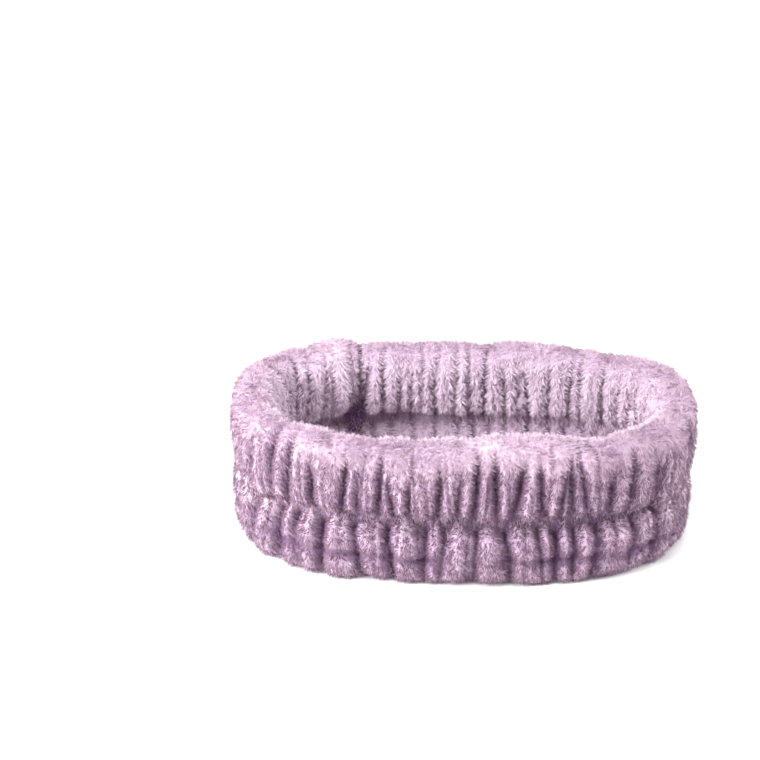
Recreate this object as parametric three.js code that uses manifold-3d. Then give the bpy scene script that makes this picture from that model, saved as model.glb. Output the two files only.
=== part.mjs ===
// A spa headband: a tube of coral fleece, gathered on a flat elastic that runs in a casing round its
// waist, with its two ends joined in one cross seam. The casing pinches the tube into a tall upper roll
// and a shorter lower roll. Millimetres, +Z up. The origin is on the surface that the headband stands
// on, at the middle of the ring; X runs along its width and Y from its front to its back.
//
// Each of the cover, the elastic and the rows of stitching is one long piece on the real headband. They
// are cut here into a front span, a back span and two ends, so that the ring can open on slides. One of
// the four cuts is at the real cross seam.
import * as THREE from 'three';
import { mergeVertices } from 'three/addons/utils/BufferGeometryUtils.js';
import Module from 'manifold-3d';

// Driving dimensions of the relaxed ring.
const WIDTH = 220;
const DEPTH = 111;
const HEIGHT = 76;
const WIDEST_BACK = 6; // how far behind its middle the ring is widest
const ROLL = 26; // thickness of the upper roll, which is the thickness of the ring's wall
const LOWER_ROLL = 26;
const PLAN_POWER = 2.7; // exponent of the plan's superellipse: 2 is an ellipse, more is squarer
const FLEECE = 4; // thickness of the fleece with its pile

// The outside of the section.
const FOOT = 14; // width of the flat foot
const FLAT = 18; // height of the upper roll's flat faces, between its crown and its slope to the waist
const LOWER_FLAT = 8;
const WAIST = 11; // thickness of the ring at the casing

// The casing and what runs in it.
const CASING_LOW = 28;
const CASING_HIGH = 38;
const SLOT_WIDE = 4.4; // room between the two fleece walls of the casing
const SLOT_EXTRA = 1.2; // how far the slot runs past the elastic at each edge, for the stitching
const ELASTIC_WIDE = 9;
const ELASTIC_THICK = 1.2;

// The join of the elastic's ends, a lap held by a zigzag of thread.
const LAP_X = - 30;
const LAP_LONG = 16;
const LAP_BITE = 0.3; // how far the lap's second layer is sunk into the first, which makes them one solid
const TACKED_LONG = 8; // how much of the lap the zigzag runs along
const TACK_RISE = 3; // how far the zigzag swings above and below the elastic's middle
const TACKS = 3;

// Stitching, and the closing seam's allowance, which stands up from the floor of the lower roll.
const THREAD = 0.7;
const CLEARANCE = 0.4; // left between pieces that touch on the real headband
const ALLOWANCE_WIDE = 3;
const ALLOWANCE_HIGH = 6;
const STITCH_RISE = 2; // height of the closing seam's stitching above the floor

// The cuts between the spans and the ends.
const CUT_X = 50;
const CUT_GAP = CLEARANCE;
const SEAM_GAP = THREAD + 2 * CLEARANCE;

// Steps along each stretch. An odd number puts one flat facet across the middle of a span.
const SPAN_STEPS = 7;
const END_STEPS = 14;
const STEPS_PER_TACK = 8;

// Facets over the crown of the upper roll, outside and in its hollow.
const CROWN_STEPS = 6;
const HOLLOW_STEPS = 4;

const WELD = 1e-3; // corners nearer than this are one corner

const materials = {
	fleece: new THREE.MeshStandardMaterial( { color: 0xd3b7cc, roughness: 0.95, metalness: 0 } ),
	elastic: new THREE.MeshStandardMaterial( { color: 0xf0eef0, roughness: 0.7, metalness: 0 } ),
	thread: new THREE.MeshStandardMaterial( { color: 0xb293b0, roughness: 0.6, metalness: 0 } ),
};

// The middle line of the ring's wall, seen from above: half of one superellipse in front and a shallower
// half behind, turned round once from +X through +Y as the turn runs from 0 to 1.
class PlanCurve extends THREE.Curve {

	constructor( from, to ) {

		super();
		this.from = from;
		this.to = to;

	}

	getPoint( t, target = new THREE.Vector3() ) {

		const angle = THREE.MathUtils.lerp( this.from, this.to, t ) * 2 * Math.PI;
		const rounded = ( value ) => Math.sign( value ) * Math.abs( value ) ** ( 2 / PLAN_POWER );
		const x = ( WIDTH - ROLL ) / 2 * rounded( Math.cos( angle ) );
		const sine = Math.sin( angle );
		const reach = ( DEPTH - ROLL ) / 2 - Math.sign( sine ) * WIDEST_BACK;
		return target.set( x, WIDEST_BACK + reach * rounded( sine ), 0 );

	}

}

// The turn at which the plan's back half reaches x.
function backTurn( x ) {

	const reach = 2 * x / ( WIDTH - ROLL );
	return Math.acos( Math.sign( x ) * Math.abs( reach ) ** ( PLAN_POWER / 2 ) ) / ( 2 * Math.PI );

}

// A section in the plane across the ring's wall is a list of [out, up] points, with out measured from
// the wall's middle line, away from the middle of the ring, and up from the foot.
function arc( centreOut, centreUp, radiusOut, radiusUp, fromDegrees, toDegrees, steps ) {

	return Array.from( { length: steps + 1 }, ( _, i ) => {

		const angle = THREE.MathUtils.degToRad( THREE.MathUtils.lerp( fromDegrees, toDegrees, i / steps ) );
		return [ centreOut + radiusOut * Math.cos( angle ), centreUp + radiusUp * Math.sin( angle ) ];

	} );

}

function rectangle( outMiddle, upMiddle, wide, high ) {

	const out = [ outMiddle - wide / 2, outMiddle + wide / 2 ];
	const up = [ upMiddle - high / 2, upMiddle + high / 2 ];
	return [ [ out[ 0 ], up[ 0 ] ], [ out[ 1 ], up[ 0 ] ], [ out[ 1 ], up[ 1 ] ], [ out[ 0 ], up[ 1 ] ] ];

}

// The other half of a section that is the same on both sides of its middle line.
function mirrored( points ) {

	return points.map( ( [ out, up ] ) => [ - out, up ] ).reverse();

}

// The outside of the cover, or a line inside it at an inset.
function coverOutline( inset ) {

	const out = ROLL / 2 - inset;
	const middle = ( HEIGHT + CASING_HIGH ) / 2;
	const crown = HEIGHT - inset - middle - FLAT / 2;
	const lowerOut = LOWER_ROLL / 2 - inset;
	const lowerMiddle = CASING_LOW / 2;
	const foot = FOOT / 2 - inset / 2;
	const corner = arc( foot, lowerMiddle - LOWER_FLAT / 2, lowerOut - foot,
		lowerMiddle - LOWER_FLAT / 2 - inset, - 45, 0, 1 );
	const side = [
		[ foot, inset ],
		...corner,
		[ lowerOut, lowerMiddle + LOWER_FLAT / 2 ],
		[ WAIST / 2 - inset, CASING_LOW - inset ],
		[ WAIST / 2 - inset, CASING_HIGH + inset ],
		[ out, middle - FLAT / 2 ],
	];
	return [ ...side, ...arc( 0, middle + FLAT / 2, out, crown, 0, 180, CROWN_STEPS ), ...mirrored( side ) ];

}

function upperHollow() {

	const out = ROLL / 2 - FLEECE;
	const middle = ( HEIGHT + CASING_HIGH ) / 2;
	const crown = HEIGHT - FLEECE - middle - FLAT / 2;
	const side = [ [ FLEECE, CASING_HIGH + FLEECE ], [ out, middle - FLAT / 2 ] ];
	return [ ...side, ...arc( 0, middle + FLAT / 2, out, crown, 0, 180, HOLLOW_STEPS ), ...mirrored( side ) ];

}

function lowerHollow() {

	const out = LOWER_ROLL / 2 - FLEECE;
	const middle = CASING_LOW / 2;
	const side = [
		[ ALLOWANCE_WIDE / 2, FLEECE + ALLOWANCE_HIGH ],
		[ ALLOWANCE_WIDE / 2, FLEECE ],
		[ FOOT / 2 - FLEECE / 2, FLEECE ],
		[ out, middle - LOWER_FLAT / 2 ],
		[ out, middle + LOWER_FLAT / 2 ],
		[ FLEECE, CASING_LOW - FLEECE ],
	];
	return [ ...side, ...mirrored( side ) ];

}

const CASING_MIDDLE = ( CASING_LOW + CASING_HIGH ) / 2;

function slotOutline() {

	return rectangle( 0, CASING_MIDDLE, SLOT_WIDE, ELASTIC_WIDE + 2 * SLOT_EXTRA );

}

// Sweeps a section along the plan between two turns. An extrusion along a level path that turns
// anticlockwise puts its shape's x downwards and its y towards the inside of the turn. That mirrors the
// section, so the outline is reversed: an extrusion turns its holes only for an anticlockwise outline.
function sweep( section, holes, fromTurn, toTurn, steps ) {

	const onShape = ( [ out, up ] ) => new THREE.Vector2( - up, - out );
	const shape = new THREE.Shape( section.map( onShape ).reverse() );
	shape.holes = holes.map( ( hole ) => new THREE.Path( hole.map( onShape ) ) );
	const extrudePath = new PlanCurve( fromTurn, toTurn );
	return new THREE.ExtrudeGeometry( shape, { steps, bevelEnabled: false, extrudePath } );

}

const wasm = await Module();
wasm.setup();

function solid( geometry ) {

	const bare = new THREE.BufferGeometry();
	bare.setAttribute( 'position', geometry.getAttribute( 'position' ) );
	const merged = mergeVertices( bare, WELD );
	return new wasm.Manifold( new wasm.Mesh( {
		numProp: 3,
		vertProperties: merged.getAttribute( 'position' ).array,
		triVerts: new Uint32Array( merged.index.array ),
	} ) );

}

function joined( first, second ) {

	const mesh = solid( first ).add( solid( second ) ).getMesh();
	const geometry = new THREE.BufferGeometry();
	geometry.setAttribute( 'position', new THREE.BufferAttribute( mesh.vertProperties, 3 ) );
	geometry.setIndex( new THREE.BufferAttribute( mesh.triVerts, 1 ) );
	geometry.computeVertexNormals();
	return geometry;

}

const group = new THREE.Group();

function add( name, geometry, material ) {

	const mesh = new THREE.Mesh( geometry, material );
	mesh.name = name;
	group.add( mesh );

}

// The four stretches, once round from the right end. Each runs from one cut to the next.
const short = CUT_X - CUT_GAP / 2;
const long = CUT_X + CUT_GAP / 2;
const seamRight = - CUT_X + SEAM_GAP / 2;
const seamLeft = - CUT_X - SEAM_GAP / 2;
const stretches = [
	{ place: 'right_end', from: - backTurn( long ), to: backTurn( long ), steps: END_STEPS },
	{ place: 'back', from: backTurn( short ), to: backTurn( seamRight ), steps: SPAN_STEPS },
	{ place: 'left_end', from: backTurn( seamLeft ), to: 1 - backTurn( - long ), steps: END_STEPS },
	{ place: 'front', from: 1 - backTurn( - short ), to: 1 - backTurn( short ), steps: SPAN_STEPS },
];

// The elastic, with the lap of its two ends in the back span.
function elastic( stretch ) {

	const strip = rectangle( 0, CASING_MIDDLE, ELASTIC_THICK, ELASTIC_WIDE );
	const run = sweep( strip, [], stretch.from, stretch.to, stretch.steps );
	if ( stretch.place !== 'back' ) return run;
	const secondThick = ELASTIC_THICK + LAP_BITE;
	const secondOut = ( LAP_BITE - 2 * ELASTIC_THICK ) / 2;
	const second = rectangle( secondOut, CASING_MIDDLE, secondThick, ELASTIC_WIDE );
	const lapFrom = backTurn( LAP_X + LAP_LONG / 2 );
	const lapTo = backTurn( LAP_X - LAP_LONG / 2 );
	return joined( run, sweep( second, [], lapFrom, lapTo, 1 ) );

}

// A row of stitching: a thread of square section that follows the ring.
function stitching( stretch, out, up ) {

	return sweep( rectangle( out, up, THREAD, THREAD ), [], stretch.from, stretch.to, stretch.steps );

}

for ( const stretch of stretches ) {

	const hollows = [ upperHollow(), slotOutline(), lowerHollow() ];
	const rowRise = ( ELASTIC_WIDE + SLOT_EXTRA ) / 2;
	const closingOut = ( ALLOWANCE_WIDE + THREAD ) / 2 + CLEARANCE;
	const cover = sweep( coverOutline( 0 ), hollows, stretch.from, stretch.to, stretch.steps );
	add( `cover_${ stretch.place }`, cover, materials.fleece );
	add( `elastic_${ stretch.place }`, elastic( stretch ), materials.elastic );
	const rows = [
		{ name: 'upper_casing_row', out: 0, up: CASING_MIDDLE + rowRise },
		{ name: 'lower_casing_row', out: 0, up: CASING_MIDDLE - rowRise },
		{ name: 'closing_seam', out: closingOut, up: FLEECE + STITCH_RISE },
	];
	for ( const row of rows ) {

		add( `${ row.name }_${ stretch.place }`, stitching( stretch, row.out, row.up ), materials.thread );

	}

}

// The cross seam's stitching, a loop through the middle of the fleece all round the section.
const loopOuter = coverOutline( ( FLEECE - THREAD ) / 2 );
const loopInner = coverOutline( ( FLEECE + THREAD ) / 2 );
const crossFrom = backTurn( - CUT_X + THREAD / 2 );
const crossTo = backTurn( - CUT_X - THREAD / 2 );
add( 'cross_seam', sweep( loopOuter, [ loopInner ], crossFrom, crossTo, 1 ), materials.thread );

// The zigzag of thread that holds the lap, lying against the elastic's outer face.
class ZigzagCurve extends THREE.Curve {

	getPoint( t, target = new THREE.Vector3() ) {

		const x = LAP_X + ( t - 0.5 ) * TACKED_LONG;
		const onPlan = new PlanCurve( backTurn( x ), 1 ).getPoint( 0 );
		const rise = TACK_RISE * Math.sin( t * TACKS * 2 * Math.PI );
		const out = ( ELASTIC_THICK + THREAD ) / 2 + CLEARANCE;
		return target.set( x, onPlan.y + out, CASING_MIDDLE + rise );

	}

}

const zigzag = new THREE.ExtrudeGeometry(
	new THREE.Shape( rectangle( 0, 0, THREAD, THREAD ).map( ( [ x, y ] ) => new THREE.Vector2( x, y ) ) ),
	{ steps: TACKS * STEPS_PER_TACK, bevelEnabled: false, extrudePath: new ZigzagCurve() } );
add( 'elastic_join', zigzag, materials.thread );

export default group;
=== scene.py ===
import math

import bpy
import numpy as np
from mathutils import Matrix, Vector
from mathutils.kdtree import KDTree


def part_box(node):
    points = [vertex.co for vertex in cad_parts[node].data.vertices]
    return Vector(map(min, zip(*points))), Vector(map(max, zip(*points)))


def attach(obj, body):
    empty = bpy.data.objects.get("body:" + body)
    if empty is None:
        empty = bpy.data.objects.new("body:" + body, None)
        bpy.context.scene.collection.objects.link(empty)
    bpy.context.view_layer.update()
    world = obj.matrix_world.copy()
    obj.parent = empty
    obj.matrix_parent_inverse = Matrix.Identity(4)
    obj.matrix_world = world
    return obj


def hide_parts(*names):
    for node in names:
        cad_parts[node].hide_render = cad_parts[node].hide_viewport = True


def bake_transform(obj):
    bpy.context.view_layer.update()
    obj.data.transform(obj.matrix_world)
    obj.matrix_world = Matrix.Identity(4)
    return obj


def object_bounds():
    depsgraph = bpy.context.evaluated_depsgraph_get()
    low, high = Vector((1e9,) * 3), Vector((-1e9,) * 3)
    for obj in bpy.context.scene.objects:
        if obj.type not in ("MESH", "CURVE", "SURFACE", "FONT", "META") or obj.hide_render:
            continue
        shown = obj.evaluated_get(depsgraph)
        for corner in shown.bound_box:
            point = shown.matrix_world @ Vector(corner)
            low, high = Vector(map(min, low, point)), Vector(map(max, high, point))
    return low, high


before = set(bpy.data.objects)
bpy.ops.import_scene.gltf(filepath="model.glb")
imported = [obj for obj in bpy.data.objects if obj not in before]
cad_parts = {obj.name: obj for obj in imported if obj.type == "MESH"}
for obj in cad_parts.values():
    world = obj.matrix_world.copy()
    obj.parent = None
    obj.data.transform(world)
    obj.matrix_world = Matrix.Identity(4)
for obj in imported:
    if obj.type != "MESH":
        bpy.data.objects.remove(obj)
cad_low, cad_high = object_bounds()
rng = np.random.default_rng(20)

# The ring, as the CAD model has it.
MM = 0.001
WIDTH, DEPTH, HEIGHT = cad_high - cad_low
WALL = 26 * MM
PLAN_POWER = 2.7
PLAN_STEPS = 4096  # steps of the plan's even table
FINE_STEPS = 40_000  # steps of the curve that it is read from
TANGENT_STEPS = 6  # a tangent is taken over this many steps to each side
WIDEST_BACK = 6 * MM  # how far behind its middle the ring is widest
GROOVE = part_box("elastic_front")[0][2] / 2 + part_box("elastic_front")[1][2] / 2  # between the two rolls
SPANS = ("front", "back", "left_end", "right_end")

# The pile and the skin that it grows from.
PILE = 2.4 * MM  # how far the skin lies inside the outline of the plush
TUFTS = 270_000
END_FROM = 60 * MM  # the pile of the two ends is made in pieces of its own, from this far out
TUFT_LONG = 2.5 * MM
TUFT_WIDE = 0.36 * MM
LONG_SPREAD, WIDE_SPREAD = (0.65, 1.2), (0.7, 1.25)  # the least and most of each, as shares of it
DEEP_SHORTER = 0.45  # the share of its length that a tuft deep in a gather doesn't have
CLUMPS = 60_000
CLUMP_PULL = (0.3, 0.8)  # how far a tuft's tip is drawn to its clump's tip, as a share of the way
CLUMP_REACH = 3 * MM  # a tuft further than this from its clump's middle stands alone
SUNK_DEEP = 5 * MM  # a tuft this far below the plain skin counts as deep in a gather
TUFT_ROOTED = 0.12  # how far a tuft starts below the skin, as a share of its length

# How a tuft is combed: parts along the skin's normal, down the wall, off the ridge and to a random side.
COMB_NORMAL, COMB_DOWN, COMB_OFF_RIDGE, COMB_SWIRL = 0.58, 0.7, 0.8, 0.22
COMB_JITTER = 0.15
FLOOR_GAP = 0.15 * MM  # no skin or pile is lower than this
LOWEST_THREAD = 1 * MM  # and no point of the cross seam's thread is lower than this

STRIP_STEPS = 360  # steps round the ring of the elastic and the long rows of stitching
ELASTIC_THICK = 1.2 * MM
THREAD_THICK = 0.7 * MM
SEAM_THREAD_DEPTH = 0.9 * MM  # how far under the skin the cross seam's thread runs

MOST_SINK = 7.5 * MM  # no gather sinks further than this
CASING_HALF = 1.6 * MM  # the skin stays at least this far from the wall's middle line at the elastic
CASING_KEPT = 9 * MM  # and does so up to this far above and below the elastic's middle

# The gathers on each side of each roll, as sets that are laid over each other. Each set has the mean gap
# between its valleys and their depth, both in mm, how much of a valley's run the roll's height covers, the
# seed of its places, and how far its valleys lean, in mm.
GATHERS = {
    "upper_outer": [(9.2, 7.0, 1, 11, 5), (4.8, 1.6, 1, 12, 4)],
    "upper_inner": [(7.8, 5.0, 0.9, 21, 4), (4.2, 1.1, 1, 22, 3)],
    "lower_outer": [(12.8, 6.4, 0.75, 31, 5), (6.4, 1.2, 0.9, 32, 4)],
    "lower_inner": [(9.5, 3.4, 0.7, 41, 2.5)],
}
GAP_SPREAD = (0.62, 1.45)  # the least and most of a gap, as shares of the mean gap
REACH_SPREAD = (0.78, 1.12)  # of how far from the groove a valley runs, as shares of the whole way
DEPTH_SPREAD = (0.55, 1.15)  # of a valley's depth, as shares of its set's depth
VALLEY_SHARP = 2.4  # more makes the valleys narrower and the ridges between them wider
VALLEY_FADE = 0.45  # the share of the roll's height over which a valley runs out
SIDE_MIXED = 4 * MM  # over the crest and the foot, the outer gathers run into the inner ones this far out
PUFFS = 0.9 * MM  # the slow rise and fall of the skin between gathers

# The crease that runs round the outside of the lower roll, in stretches, and makes two tiers of puffs.
CREASE_UP = 15 * MM
CREASE_HALF = 3.2 * MM
CREASE_DEPTH = 4.2 * MM

# The cross seam's valley is narrow at the crest and widens towards the groove, mostly on the side where
# shares of the ring are higher, which is its left as the camera sees it. A bulge stands on that side too.
SEAM_DEPTH = 6 * MM
SEAM_HALF = 1.2 * MM
SEAM_WIDENS_BEFORE = 1 * MM  # on the side where shares are lower
SEAM_WIDENS_AFTER = 7 * MM
SEAM_WIDENING_POWER = 1.6  # more keeps the valley narrow for longer on its way down
SEAM_NARROW_OUTSIDE = 0.8  # the share of its widening that the outside doesn't have
SEAM_SHALLOW_CREST = 0.55  # the share of its depth that is gone at the crest
SEAM_SHALLOW_LOW = 0.6  # and on the lower roll
SEAM_LOW_FROM = 0.25  # it is as shallow as that from this share of the lower roll's height down
BULGE_AWAY = 12 * MM
BULGE_HALF = 8 * MM
BULGE_RISE = 1.6 * MM

# The crest lies a little low, except for a hump at the front, and the round ends fill out the waist.
CREST_FROM = 66 * MM
CREST_SUNK = 1.2 * MM
HUMP_X = 20 * MM
HUMP_HALF = 20 * MM
HUMP_FROM = 62 * MM
HUMP_RISE = 2.6 * MM
ROUND_END_FROM, ROUND_END_FULL = 72 * MM, 92 * MM
WAIST_HALF = 6 * MM
WAIST_FILLED = 6 * MM

# At the foot, where the skin is pressed to the floor, gathers keep only FOOT_SHARE of their depth. They have
# all of it from FOOT_HIGH up.
FOOT_HIGH = 6 * MM
FOOT_SHARE = 0.3

# The cloth simulation that rounds the gathers with a little air.
SIM_FRAMES = 14
SIM_CAP = 1.9 * MM  # no point moves further than this
SIM_PRESSURE = 3
SIM_GROWTH = 0.03  # how much wider the cloth would lie if it were free, as a share
SIM_HELD = 4 * MM  # the skin is held this near to the groove, where it is sewn
SIM_FOOT_HELD = 1 * MM  # and below this height, where it rests on the floor

# The skin's grid: steps round the ring, and round the wall's section. Both are even, because the
# simulation runs on every second step.
ROUND_STEPS = 620
SECTION_STEPS = 150

# The wall's section: two rolls, each a superellipse, that run into each other at the groove. An exponent
# of 2 makes a roll an ellipse, and more makes it squarer.
SECTION_FINE_STEPS = 4000
LOWER_POWER = 2.3
UPPER_POWER = 2.5
ROLLS_OVERLAP = 1 * MM  # how far each roll runs past the groove's height
ROLLS_JOIN = 4  # more makes the corner between the rolls sharper
FOOT_PRESSED = 3 * MM  # how much of the lower roll its own weight presses flat
GROOVE_CUT = 2.3 * MM  # how much deeper the stitching pulls the groove in
GROOVE_SOFT = 4 * MM


def ramp(value, start, end):
    """0 on the side of start, 1 on the side of end, and straight between them."""
    return np.clip((value - start) / (end - start), 0, 1)


def bell(away, half):
    """1 where away is 0, falling off smoothly on both sides."""
    return np.exp(-((away / half) ** 2))


def wave(value, waves, seed):
    """A smooth random function of value with period 1, between about -1 and 1."""
    draw = np.random.default_rng(seed)
    total = np.zeros_like(value)
    for count in waves:
        total += draw.uniform(0.6, 1) * np.sin(2 * np.pi * (count * value + draw.random()))
    return total / len(waves)


# ---- the ring's plan and the wall's section ----
def plan_table(count=PLAN_STEPS):
    """Points along the wall's middle line, with the outward normal, by share of its length."""
    angle = np.linspace(0, 2 * np.pi, FINE_STEPS + 1)
    rounded = lambda v: np.sign(v) * np.abs(v) ** (2 / PLAN_POWER)
    reach = (DEPTH - WALL) / 2 - np.sign(np.sin(angle)) * WIDEST_BACK
    across = (WIDTH - WALL) / 2 * rounded(np.cos(angle))
    fine = np.stack([across, WIDEST_BACK + reach * rounded(np.sin(angle))], 1)
    along = np.concatenate([[0], np.cumsum(np.linalg.norm(np.diff(fine, axis=0), axis=1))])
    share = np.linspace(0, 1, count + 1)
    points = np.stack([np.interp(share * along[-1], along, fine[:, k]) for k in (0, 1)], 1)
    tangent = np.roll(points[:-1], -TANGENT_STEPS, 0) - np.roll(points[:-1], TANGENT_STEPS, 0)
    tangent /= np.linalg.norm(tangent, axis=1)[:, None]
    normal = np.stack([tangent[:, 1], -tangent[:, 0]], 1)
    normal = np.concatenate([normal, normal[:1]])
    return share, points, normal, along[-1]


PLAN_SHARE, PLAN_POINTS, PLAN_NORMALS, PLAN_LONG = plan_table()


def on_plan(share):
    """The point on the wall's middle line at each share of its length, and the outward normal there."""
    share = share % 1
    pick = lambda table: np.stack([np.interp(share, PLAN_SHARE, table[:, k]) for k in (0, 1)], -1)
    normal = pick(PLAN_NORMALS)
    return pick(PLAN_POINTS), normal / np.linalg.norm(normal, axis=-1, keepdims=True)


def roll_half(up, low, high, power):
    """Half the thickness of one roll at each height, and 0 above and below it."""
    from_middle = np.abs(up - (low + high) / 2) / ((high - low) / 2)
    return WALL / 2 * np.clip(1 - from_middle**power, 0, None) ** (1 / power)


def section_table(count):
    """The section as a closed loop of (out, up), evenly spaced, with its outward normals. It starts at
    the foot and runs up the outer side, over the crest and down the inner side."""
    turn = np.linspace(0, np.pi, SECTION_FINE_STEPS + 1)
    up = HEIGHT * (1 - np.cos(turn)) / 2
    lower = roll_half(up, -FOOT_PRESSED, GROOVE + ROLLS_OVERLAP, LOWER_POWER)
    upper = roll_half(up, GROOVE - ROLLS_OVERLAP, HEIGHT, UPPER_POWER)
    groove = GROOVE_CUT * bell(up - GROOVE, GROOVE_SOFT)
    out = (lower**ROLLS_JOIN + upper**ROLLS_JOIN) ** (1 / ROLLS_JOIN) - groove
    half = np.concatenate([[(0, 0)], np.stack([out, up], 1)])
    closed = np.concatenate([half, half[-2::-1] * (-1, 1)])
    along = np.concatenate([[0], np.cumsum(np.linalg.norm(np.diff(closed, axis=0), axis=1))])
    share = np.linspace(0, along[-1], count, endpoint=False)
    points = np.stack([np.interp(share, along, closed[:, k]) for k in (0, 1)], 1)
    tangent = np.roll(points, -1, 0) - np.roll(points, 1, 0)
    tangent /= np.linalg.norm(tangent, axis=1)[:, None]
    return points, np.stack([tangent[:, 1], -tangent[:, 0]], 1)


# ---- gathers ----
def valleys(mean_gap_mm, seed):
    """Where the valleys between gathers lie, as shares of the ring, unevenly spaced."""
    draw = np.random.default_rng(seed)
    count = round(PLAN_LONG / MM / mean_gap_mm)
    gaps = draw.uniform(*GAP_SPREAD, count)
    return (np.cumsum(gaps) / gaps.sum() + draw.random()) % 1, draw


def gathers(share, climb, mean_gap_mm, seed, lean_mm=2.5):
    """The depth from 0 on a ridge to 1 in a valley. climb runs from 0 at the groove to 1 at the roll's far
    side, and each valley leans and fades out at its own height."""
    places, draw = valleys(mean_gap_mm, seed)
    places = np.sort(places)
    reach = draw.uniform(*REACH_SPREAD, len(places))
    depth = draw.uniform(*DEPTH_SPREAD, len(places))
    lean = draw.uniform(-1, 1, len(places)) * lean_mm * MM / PLAN_LONG
    mean_gap = 1 / len(places)
    shifted = share + climb * wave(share, (3, 7, 13), seed + 1) * lean_mm * MM / PLAN_LONG
    total = np.zeros_like(share)
    for place, far, deep, slope in zip(places, reach, depth, lean):
        away = np.abs((shifted - place - slope * climb + 0.5) % 1 - 0.5) / mean_gap
        cut = ramp(away, 0.5, 0) ** VALLEY_SHARP
        fade = ramp(climb, far, far - VALLEY_FADE)
        total = np.maximum(total, cut * deep * fade * fade * (3 - 2 * fade))
    return total


def cross_seam_share():
    """Where the ends of the tube are joined, as a share of the ring."""
    low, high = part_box("cross_seam")
    middle = (Vector(low) + Vector(high)) / 2
    points, _ = on_plan(PLAN_SHARE[:-1])
    return PLAN_SHARE[np.argmin(np.hypot(points[:, 0] - middle.x, points[:, 1] - middle.y))]


SEAM = cross_seam_share()
HUMP = PLAN_SHARE[:-1][np.argmin(np.hypot(PLAN_POINTS[:-1, 0] - HUMP_X, PLAN_POINTS[:-1, 1] + DEPTH / 2))]


def from_place(share, place):
    """How far along the ring each share lies from a place, in metres, and negative before it."""
    return ((share - place + 0.5) % 1 - 0.5) * PLAN_LONG


def side_gathers(side, share, climb):
    """The depth of all the gathers on one side of one roll, in metres."""
    return sum(gathers(share, climb * drawn, gap, seed, lean) * depth * MM
               for gap, depth, drawn, seed, lean in GATHERS[side])


def cross_seam_valley(share, climb_upper, climb_lower, outer):
    """How far the cross seam pulls the skin in, in metres."""
    from_seam = from_place(share, SEAM)
    below = ramp(climb_lower, 0, SEAM_LOW_FROM)
    widens = np.where(from_seam > 0, SEAM_WIDENS_AFTER, SEAM_WIDENS_BEFORE)
    widens = widens * (1 - SEAM_NARROW_OUTSIDE * outer)
    half = SEAM_HALF + widens * (1 - climb_upper) ** SEAM_WIDENING_POWER * (1 - below)
    near_crest = 1 - SEAM_SHALLOW_CREST * climb_upper**3
    return SEAM_DEPTH * bell(from_seam, half) * near_crest * (1 - SEAM_SHALLOW_LOW * below)


def raised(share, up, climb_upper, outer):
    """What stands further out than the plain roll: the seam's bulge, the hump and the filled waist."""
    bulge = bell(from_place(share, SEAM) - BULGE_AWAY, BULGE_HALF) * np.clip(climb_upper * 1.4 - 0.3, 0, 1)
    hump = bell(from_place(share, HUMP), HUMP_HALF) * ramp(up, HUMP_FROM, HEIGHT)
    middle, _ = on_plan(share)
    round_end = ramp(np.abs(middle[..., 0]), ROUND_END_FROM, ROUND_END_FULL)
    filled = round_end * outer * bell(up - GROOVE, WAIST_HALF)
    return bulge * BULGE_RISE + hump * HUMP_RISE + filled * WAIST_FILLED


def sunk(share, points):
    """How far the skin sinks below the plain outline, in metres, at each (share, section point)."""
    out, up = points[..., 0], points[..., 1]
    climb_upper = ramp(up, GROOVE, HEIGHT)
    climb_lower = ramp(up, GROOVE, 0)
    outer = ramp(out, -SIDE_MIXED, SIDE_MIXED)
    on_side = lambda roll, climb: (side_gathers(f"{roll}_outer", share, climb) * outer
                                   + side_gathers(f"{roll}_inner", share, climb) * (1 - outer))
    depth = np.where(up > GROOVE, on_side("upper", climb_upper), on_side("lower", climb_lower))
    puffs = wave(share, (9, 14, 23), 51) * 0.7 + wave(share + up * 6, (5, 17), 52) * 0.6
    creased = np.clip(wave(share, (4, 9, 15), 53) + 0.5, 0, 1)
    crease = bell(up - CREASE_UP, CREASE_HALF) * creased * outer
    sink = depth + crease * CREASE_DEPTH + cross_seam_valley(share, climb_upper, climb_lower, outer)
    foot = np.clip(FOOT_SHARE + (1 - FOOT_SHARE) * up / FOOT_HIGH, 0, 1)
    sink = MOST_SINK * np.tanh(sink / MOST_SINK) * foot
    crest = ramp(up, CREST_FROM, HEIGHT)
    return PILE + sink + puffs * PUFFS + crest * CREST_SUNK - raised(share, up, climb_upper, outer)


def skin_points():
    """The gathered skin's points, by step round the ring and step round the section."""
    share = np.arange(ROUND_STEPS) / ROUND_STEPS
    section, section_normals = section_table(SECTION_STEPS)
    grid_share = np.repeat(share[:, None], SECTION_STEPS, 1)
    grid_section = np.repeat(section[None], ROUND_STEPS, 0)
    sink = sunk(grid_share, grid_section)
    moved = grid_section - section_normals[None] * sink[..., None]
    middle, normal = on_plan(grid_share)
    beside_elastic = np.abs(grid_section[..., 1] - GROOVE) < CASING_KEPT
    side = np.sign(grid_section[..., 0])
    kept_out = side * np.maximum(side * moved[..., 0], CASING_HALF)
    moved[..., 0] = np.where(beside_elastic, kept_out, moved[..., 0])
    level = middle + normal * moved[..., :1]
    points = np.concatenate([level, moved[..., 1:]], -1)
    points[..., 2] = np.maximum(points[..., 2], FLOOR_GAP)
    return points, grid_share, grid_section, sink


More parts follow.
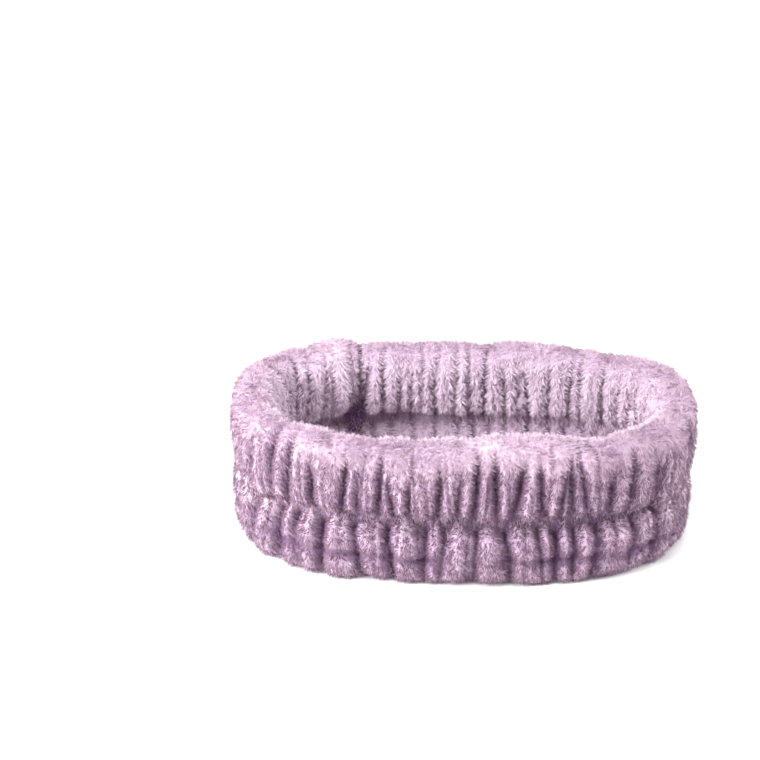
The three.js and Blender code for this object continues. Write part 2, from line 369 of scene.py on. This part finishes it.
# ---- meshes ----
def mesh_object(name, points, faces, smooth=True):
    """A new object in the scene, with faces that all have the same number of corners."""
    mesh = bpy.data.meshes.new(name)
    corners = faces.shape[1]
    mesh.vertices.add(len(points))
    mesh.vertices.foreach_set("co", points.astype(np.float32).ravel())
    mesh.loops.add(faces.size)
    mesh.loops.foreach_set("vertex_index", faces.astype(np.int32).ravel())
    mesh.polygons.add(len(faces))
    mesh.polygons.foreach_set("loop_start", np.arange(0, faces.size, corners, dtype=np.int32))
    mesh.polygons.foreach_set("use_smooth", np.full(len(faces), smooth))
    mesh.update(calc_edges=True)
    piece = bpy.data.objects.new(name, mesh)
    bpy.context.scene.collection.objects.link(piece)
    return piece


def grid_faces(rounds, around):
    """The faces of a grid that closes on itself both ways, as a ring's skin does."""
    i, j = np.meshgrid(np.arange(rounds), np.arange(around), indexing="ij")
    at = lambda a, b: (a % rounds) * around + b % around
    return np.stack([at(i, j), at(i + 1, j), at(i + 1, j + 1), at(i, j + 1)], -1).reshape(-1, 4)


# ---- simulation ----
def doubled(grid, axis):
    """The grid with a step put in halfway between each two, round a closed loop."""
    halfway = (grid + np.roll(grid, -1, axis)) / 2
    shape = list(grid.shape)
    shape[axis] *= 2
    return np.stack([grid, halfway], axis + 1).reshape(shape)


def add_cloth(piece):
    """Cloth that swells a little, and is held where the vertex group says."""
    settings = piece.modifiers.new("cloth", "CLOTH").settings
    settings.quality = 6
    settings.mass = 0.15
    settings.tension_stiffness = settings.compression_stiffness = 12
    settings.shear_stiffness = 4
    settings.bending_stiffness = 0.1
    settings.use_pressure = True
    settings.uniform_pressure_force = SIM_PRESSURE
    settings.shrink_min = -SIM_GROWTH
    settings.effector_weights.gravity = 0
    settings.vertex_group_mass = "held"


def puffed(points):
    """The skin after a short cloth simulation, held at the groove, where it is sewn, and at the foot."""
    coarse = points[::2, ::2]
    flat = coarse.reshape(-1, 3)
    piece = mesh_object("simulated_skin", flat, grid_faces(*coarse.shape[:2]))
    still = (np.abs(flat[:, 2] - GROOVE) < SIM_HELD) | (flat[:, 2] < SIM_FOOT_HELD)
    piece.vertex_groups.new(name="held").add(np.flatnonzero(still).tolist(), 1.0, "REPLACE")
    add_cloth(piece)
    for number in range(1, SIM_FRAMES + 1):
        bpy.context.scene.frame_set(number)
    simulated = piece.evaluated_get(bpy.context.evaluated_depsgraph_get())
    moved = np.empty(flat.size, dtype=np.float32)
    simulated.data.vertices.foreach_get("co", moved)
    bpy.context.scene.frame_set(1)
    bpy.data.objects.remove(piece, do_unlink=True)
    shift = moved.reshape(coarse.shape) - coarse
    far = np.linalg.norm(shift, axis=-1, keepdims=True)
    shift *= np.minimum(1, SIM_CAP / np.maximum(far, SIM_CAP / 100))
    result = points + doubled(doubled(shift, 0), 1)
    result[..., 2] = np.maximum(result[..., 2], FLOOR_GAP)
    return result


# ---- materials ----
def principled(name, colour, roughness, sheen=0.0, sheen_roughness=0.4, sheen_tint=(1, 1, 1)):
    """A material whose shader holds values that are the same all over."""
    material = bpy.data.materials.new(name)
    material.use_nodes = True
    shader = material.node_tree.nodes["Principled BSDF"]
    shader.inputs["Base Color"].default_value = (*colour, 1)
    shader.inputs["Roughness"].default_value = roughness
    shader.inputs["Sheen Weight"].default_value = sheen
    shader.inputs["Sheen Roughness"].default_value = sheen_roughness
    shader.inputs["Sheen Tint"].default_value = (*sheen_tint, 1)
    return material, shader


def speckled(name, dark, light, scale, roughness, bump):
    """A material with noise between two colours, and a bump of the same grain."""
    material, shader = principled(name, light, roughness, sheen=0.3)
    nodes, links = material.node_tree.nodes, material.node_tree.links
    where = nodes.new("ShaderNodeTexCoord")
    noise = nodes.new("ShaderNodeTexNoise")
    noise.inputs["Scale"].default_value = scale
    noise.inputs["Detail"].default_value = 6
    colours = nodes.new("ShaderNodeValToRGB")
    colours.color_ramp.elements[0].position = 0.3
    colours.color_ramp.elements[0].color = (*dark, 1)
    colours.color_ramp.elements[1].position = 0.7
    colours.color_ramp.elements[1].color = (*light, 1)
    dents = nodes.new("ShaderNodeBump")
    dents.inputs["Strength"].default_value = bump
    dents.inputs["Distance"].default_value = 0.4 * MM
    links.new(where.outputs["Object"], noise.inputs["Vector"])
    links.new(noise.outputs["Fac"], colours.inputs["Fac"])
    links.new(colours.outputs["Color"], shader.inputs["Base Color"])
    links.new(noise.outputs["Fac"], dents.inputs["Height"])
    links.new(dents.outputs["Normal"], shader.inputs["Normal"])
    return material


def ground_material():
    """The fleece between the roots of the pile: speckled lilac, with painted shade, a dark violet, mixed in
    down in the gathers.
    """
    material = speckled("fleece_ground", (0.60, 0.43, 0.56), (0.82, 0.66, 0.77), 900, 0.9, 0.6)
    nodes, links = material.node_tree.nodes, material.node_tree.links
    depth = nodes.new("ShaderNodeAttribute")
    depth.attribute_name = "depth"
    # Painted shade: a dark violet that the gather's depth mixes into the speckle.
    painted_shade = nodes.new("ShaderNodeMix")
    painted_shade.data_type = "RGBA"
    painted_shade.inputs["B"].default_value = (0.12, 0.045, 0.16, 1)
    shader = nodes["Principled BSDF"]
    speckle = shader.inputs["Base Color"].links[0].from_socket
    links.new(speckle, painted_shade.inputs["A"])
    links.new(depth.outputs["Fac"], painted_shade.inputs["Factor"])
    links.new(painted_shade.outputs["Result"], shader.inputs["Base Color"])
    return material


# Tones of the pile, from the violet of the painted shade in the valleys to the pale painted light on the
# tips of the crest.
TONES = [
    (0.225, 0.125, 0.200), (0.350, 0.222, 0.298), (0.465, 0.322, 0.405), (0.558, 0.412, 0.505),
    (0.632, 0.482, 0.590), (0.684, 0.535, 0.645), (0.716, 0.572, 0.682), (0.744, 0.605, 0.710),
]
PLAIN_TONE = 0.7  # the place in TONES of a tuft on a ridge of the outside, before its random part. It is kept dark, partly as painted shade over the outer wall.
GATHER_SHADE_TONE = 3.8  # painted shade: how many places darker it is down in a gather
CREST_LIGHT_TONE = 3.0  # painted light: how many places paler it is on the crest, which faces up
INSIDE_LIGHT_TONE = 5.4  # and on the inside, painted light too. On the inside's crest it is the greater of the two.
LOW_SHADE_TONE = 0.6  # painted shade: how many places darker low on the outside
CREST_LIGHT_FROM, CREST_LIGHT_TO = 62 * MM, 73 * MM  # the heights between which the crest's painted light comes in
INSIDE_FROM, INSIDE_FULL = -1 * MM, -5 * MM  # and how far out from the wall's middle, for the inside's painted light
# The height below which the outside gets its painted shade.
LOW_BELOW = 50 * MM
TUFT_TONES, CLUMP_TONES = 0.6, 0.9  # the spread, in places, of a tuft's random part and of its clump's
CREST_EVEN = 0.55  # the share of both that is gone on the crest


def pile_materials():
    """One plain material for each tone, every third one glossier than the rest."""
    made = []
    for number, colour in enumerate(TONES):
        glossy = number % 3 == 2
        made.append(principled(f"pile_{number}", colour, 0.28 if glossy else 0.5, sheen=0.12,
                               sheen_roughness=0.35, sheen_tint=(1, 0.93, 0.98))[0])
    return made


# ---- pile ----
def grown_tufts(points, faces, share, section, sink):
    """Root, tip, skin normal and tone of each tuft of pile."""
    corner = points[faces]
    across = np.cross(corner[:, 2] - corner[:, 0], corner[:, 3] - corner[:, 1])
    area = np.linalg.norm(across, axis=1) / 2
    face_normal = across / np.maximum(area * 2, 1e-12)[:, None]
    chosen = np.searchsorted(np.cumsum(area) / area.sum(), rng.random(TUFTS)).clip(0, len(faces) - 1)
    u, v = rng.random((2, TUFTS, 1))
    c = corner[chosen]
    root = (c[:, 0] * (1 - u) + c[:, 1] * u) * (1 - v) + (c[:, 3] * (1 - u) + c[:, 2] * u) * v
    normal = face_normal[chosen]
    first = faces[chosen][:, 0]
    deep = np.clip((sink.ravel()[first] - PILE) / SUNK_DEEP, 0, 1)
    height = section.reshape(-1, 2)[first][:, 1]
    place = share.ravel()[first]
    comb = np.stack([wave(place + height * 9, (11, 19, 37), 61 + k) for k in range(3)], 1)
    down = np.array([0, 0, -1.0])
    lean = down - normal * (normal @ down)[:, None]
    lean /= np.linalg.norm(lean, axis=1)[:, None] + 0.25
    _, plan_normal = on_plan(place)
    tangent = np.stack([-plan_normal[:, 1], plan_normal[:, 0], np.zeros(TUFTS)], 1)
    off_ridge = tangent * np.sum(tangent * normal, 1)[:, None]
    aim = normal * COMB_NORMAL + lean * COMB_DOWN + off_ridge * COMB_OFF_RIDGE + comb * COMB_SWIRL
    aim += rng.normal(0, COMB_JITTER, (TUFTS, 3))
    aim /= np.linalg.norm(aim, axis=1)[:, None]
    long = TUFT_LONG * rng.uniform(*LONG_SPREAD, TUFTS) * (1 - DEEP_SHORTER * deep)
    tip = root + aim * long[:, None]
    centres = rng.choice(TUFTS, CLUMPS, replace=False)
    nearest = nearest_of(root, centres)
    pull = rng.uniform(*CLUMP_PULL, TUFTS)[:, None]
    near = np.linalg.norm(root - root[nearest], axis=1) < CLUMP_REACH
    tip = np.where(near[:, None], tip * (1 - pull) + tip[nearest] * pull, tip)
    out = section.reshape(-1, 2)[first][:, 0]
    # The tone: painted shade down in the gathers and low on the outside, painted light on the crest and on
    # the inside, then a random part of the tuft's own and of its clump's.
    crest = ramp(height, CREST_LIGHT_FROM, CREST_LIGHT_TO)
    inside = ramp(out, INSIDE_FROM, INSIDE_FULL)
    shaded_low_outside = (out > 0) & (height < LOW_BELOW)
    tone = PLAIN_TONE - GATHER_SHADE_TONE * deep - LOW_SHADE_TONE * shaded_low_outside
    tone += np.maximum(CREST_LIGHT_TONE * crest, INSIDE_LIGHT_TONE * inside)
    spread = 1 - CREST_EVEN * crest
    tone += spread * (rng.normal(0, TUFT_TONES, TUFTS) + CLUMP_TONES * rng.normal(0, 1, TUFTS)[nearest])
    return root, tip, normal, np.clip(np.round(tone), 0, len(TONES) - 1).astype(np.int32)


def nearest_of(root, centres):
    """For each tuft, the clump's middle that is nearest to its root."""
    tree = KDTree(len(centres))
    for number in centres:
        tree.insert(root[number], int(number))
    tree.balance()
    return np.array([tree.find(point)[1] for point in root])


def tuft_mesh(name, root, tip, normal, tone):
    """One piece of many tufts, each a closed blade of three sides that narrows to its tip."""
    along = tip - root
    side = np.cross(along, normal + rng.normal(0, 0.2, normal.shape))
    side /= np.maximum(np.linalg.norm(side, axis=1), 1e-9)[:, None]
    other = np.cross(along, side)
    other /= np.maximum(np.linalg.norm(other, axis=1), 1e-9)[:, None]
    half = (TUFT_WIDE / 2 * rng.uniform(*WIDE_SPREAD, len(root)))[:, None]
    foot = root - along * TUFT_ROOTED
    points = np.stack([foot + side * half, foot - side * half, foot + other * half, tip], 1).reshape(-1, 3)
    points[:, 2] = np.maximum(points[:, 2], FLOOR_GAP)
    start = np.arange(len(root))[:, None, None] * 4
    faces = (start + np.array([[0, 3, 1], [1, 3, 2], [2, 3, 0], [0, 1, 2]])[None]).reshape(-1, 3)
    piece = mesh_object(name, points, faces, smooth=False)
    piece.data.polygons.foreach_set("material_index", np.repeat(tone, 4))
    return piece


# ---- the pieces ----
def pile_pieces(root):
    """Which tufts each piece of pile holds: one piece for each span of each roll."""
    end = np.abs(root[:, 0]) > END_FROM
    back, right, upper = root[:, 1] > 0, root[:, 0] > 0, root[:, 2] > GROOVE
    spans = {"front": ~end & ~back, "back": ~end & back, "left_end": end & ~right, "right_end": end & right}
    pieces = {}
    for span, on_span in spans.items():
        pieces[f"upper_pile_{span}"] = upper & on_span
        pieces[f"lower_pile_{span}"] = ~upper & on_span
    return pieces


def make_cover():
    """The gathered cover and its pile. It returns the cover's points."""
    points, share, section, sink = skin_points()
    points = puffed(points)
    faces = grid_faces(ROUND_STEPS, SECTION_STEPS)
    skin = mesh_object("fleece_cover", points.reshape(-1, 3), faces)
    skin.data.materials.append(ground_material())
    # The depth of each gather, which the ground material turns into painted shade.
    depth = skin.data.attributes.new("depth", "FLOAT", "POINT")
    depth.data.foreach_set("value", np.clip(sink.ravel() / MOST_SINK, 0, 1).astype(np.float32))
    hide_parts(*[f"cover_{span}" for span in SPANS])
    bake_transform(skin)
    root, tip, normal, tone = grown_tufts(points.reshape(-1, 3), faces, share, section, sink)
    tones = pile_materials()
    for name, here in pile_pieces(root).items():
        pile = tuft_mesh(name, root[here], tip[here], normal[here], tone[here])
        for material in tones:
            pile.data.materials.append(material)
        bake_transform(pile)
    return points


def run_section(node, thick):
    """Where a run of elastic or thread lies in the wall, out and up, and its height, from the frame."""
    low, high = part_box(node)
    outer_face = -low[1] - (DEPTH - WALL) / 2
    return outer_face - thick / 2, (low[2] + high[2]) / 2, high[2] - low[2]


def ring_strip(name, out, up, thick, high):
    """A closed strip that follows the ring: the elastic, or a row of stitching."""
    share = np.arange(STRIP_STEPS) / STRIP_STEPS
    middle, normal = on_plan(share)
    corners = [(-1, -1), (1, -1), (1, 1), (-1, 1)]
    rows = []
    for out_side, up_side in corners:
        level = middle + normal * (out + out_side * thick / 2)
        rows.append(np.concatenate([level, np.full((STRIP_STEPS, 1), up + up_side * high / 2)], 1))
    points = np.stack(rows, 1).reshape(-1, 3)
    return mesh_object(name, points, grid_faces(STRIP_STEPS, len(corners)))


def cross_seam_stitches(points):
    """A closed thread that follows the inside of the skin all round the section, at the cross seam."""
    column = points[round(SEAM * ROUND_STEPS) % ROUND_STEPS]
    middle, normal = on_plan(np.array([SEAM]))
    out = (column[:, :2] - middle) @ normal[0]
    up = column[:, 2]
    ahead = np.stack([np.roll(out, -1) - np.roll(out, 1), np.roll(up, -1) - np.roll(up, 1)], 1)
    ahead /= np.maximum(np.linalg.norm(ahead, axis=1), 1e-9)[:, None]
    inward = np.stack([-ahead[:, 1], ahead[:, 0]], 1)
    across = np.array([-normal[0][1], normal[0][0], 0])
    rings = []
    deeper = SEAM_THREAD_DEPTH + THREAD_THICK
    for depth, side in ((SEAM_THREAD_DEPTH, -1), (deeper, -1), (deeper, 1), (SEAM_THREAD_DEPTH, 1)):
        flat = np.stack([out, up], 1) + inward * depth
        flat[:, 1] = np.maximum(flat[:, 1], LOWEST_THREAD)
        level = middle + normal * flat[:, :1]
        ring = np.concatenate([level, flat[:, 1:]], 1) + across * side * THREAD_THICK / 2
        rings.append(ring)
    thread_points = np.stack(rings, 1).reshape(-1, 3)
    return mesh_object("cross_seam_stitches", thread_points, grid_faces(len(column), len(rings)))


def make_inner_pieces(skin):
    """What runs inside the cover: the elastic and the long rows of stitching."""
    woven = speckled("woven_elastic", (0.66, 0.65, 0.67), (0.88, 0.87, 0.88), 2500, 0.7, 0.8)
    thread = speckled("spun_thread", (0.36, 0.23, 0.37), (0.52, 0.37, 0.52), 3000, 0.6, 0.6)
    runs = [
        ("elastic_band", "elastic", "elastic", woven, ELASTIC_THICK),
        ("upper_casing_stitches", "upper_casing_row", "thread", thread, THREAD_THICK),
        ("lower_casing_stitches", "lower_casing_row", "thread", thread, THREAD_THICK),
        ("closing_seam_stitches", "closing_seam", "thread", thread, THREAD_THICK),
    ]
    for name, nodes, slot, material, thick in runs:
        out, up, high = run_section(f"{nodes}_front", thick)
        piece = ring_strip(name, out, up, thick, high)
        piece.data.materials.append(material)
        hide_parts(*[f"{nodes}_{span}" for span in SPANS])
        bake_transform(piece)
    seam = cross_seam_stitches(skin)
    seam.data.materials.append(thread)
    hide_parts("cross_seam")
    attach(seam, "back_span")
    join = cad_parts["elastic_join"]
    join.data.materials.clear()
    join.data.materials.append(thread)


# ---- camera, floor and light ----
CAMERA_ELEVATION = 35.2
CAMERA_AZIMUTH = 1.8
CAMERA_AWAY = 0.75
LENS_MM = 75.3
SENSOR_MM = 36
AIM_LEFT = 40 * MM  # the camera looks past the ring's middle, this far to its left and this far above it
AIM_ABOVE = 34 * MM


def make_camera():
    """The camera, seeing the ring from the front and above."""
    data = bpy.data.cameras.new("camera")
    data.sensor_width, data.lens = SENSOR_MM, LENS_MM
    data.clip_start, data.clip_end = 0.01, 20
    camera = bpy.data.objects.new("camera", data)
    bpy.context.scene.collection.objects.link(camera)
    elevation, azimuth = math.radians(CAMERA_ELEVATION), math.radians(CAMERA_AZIMUTH)
    level = Vector((math.sin(azimuth), math.cos(azimuth), 0))
    right = Vector((math.cos(azimuth), -math.sin(azimuth), 0))
    ahead = level * math.cos(elevation) - Vector((0, 0, math.sin(elevation)))
    above = right.cross(ahead)
    middle = Vector((0, 0, HEIGHT / 2))
    camera.location = middle - ahead * CAMERA_AWAY
    looked_at = middle - right * AIM_LEFT + above * AIM_ABOVE
    camera.rotation_mode = "QUATERNION"
    camera.rotation_quaternion = (looked_at - camera.location).to_track_quat("-Z", "Y")
    bpy.context.scene.camera = camera


def area_light(name, place, size, power, colour):
    """A round lamp that shines at the ring's middle."""
    data = bpy.data.lights.new(name, "AREA")
    data.shape = "DISK"
    data.size, data.energy, data.color = size, power, colour
    lamp = bpy.data.objects.new(name, data)
    lamp.location = place
    lamp.rotation_mode = "QUATERNION"
    lamp.rotation_quaternion = (Vector((0, 0, LAMPS_AIM_UP)) - Vector(place)).to_track_quat("-Z", "Y")
    bpy.context.scene.collection.objects.link(lamp)


# The lamps: where each one is, its width in metres, its power in watts and its colour.
WHITE, WARM = (1, 1, 1), (1, 0.985, 0.975)
LAMPS_AIM_UP = 40 * MM
LAMPS = [
    ("key_above", (0.0, -0.02, 0.75), 0.45, 0.8, WARM),
    ("high_front", (0.0, -0.22, 0.78), 0.3, 2.6, WHITE),
    ("left_side", (-0.72, -0.35, 0.42), 0.4, 13.5, WHITE),
    ("right_side", (0.8, -0.05, 0.5), 0.4, 5.8, WHITE),
    ("back_side", (0.1, 0.9, 0.5), 0.5, 3.5, WHITE),
]
SKY_STRENGTH = 0.39
FLOOR_HALF = 6.0
FLOOR_COLOUR = (0.95, 0.95, 0.95)


def make_room():
    """A white room with a pale floor and soft lamps."""
    world = bpy.data.worlds.new("studio")
    world.use_nodes = True
    world.node_tree.nodes["Background"].inputs["Color"].default_value = (1, 1, 1, 1)
    world.node_tree.nodes["Background"].inputs["Strength"].default_value = SKY_STRENGTH
    bpy.context.scene.view_settings.view_transform = "Standard"
    bpy.context.scene.world = world
    corners = [(-1, -1, 0), (1, -1, 0), (1, 1, 0), (-1, 1, 0)]
    floor = mesh_object("floor", np.array(corners) * FLOOR_HALF, np.array([[0, 1, 2, 3]]))
    floor.data.materials.append(principled("floor", FLOOR_COLOUR, 0.9)[0])
    for lamp in LAMPS:
        area_light(*lamp)


make_camera()
make_room()
make_inner_pieces(make_cover())
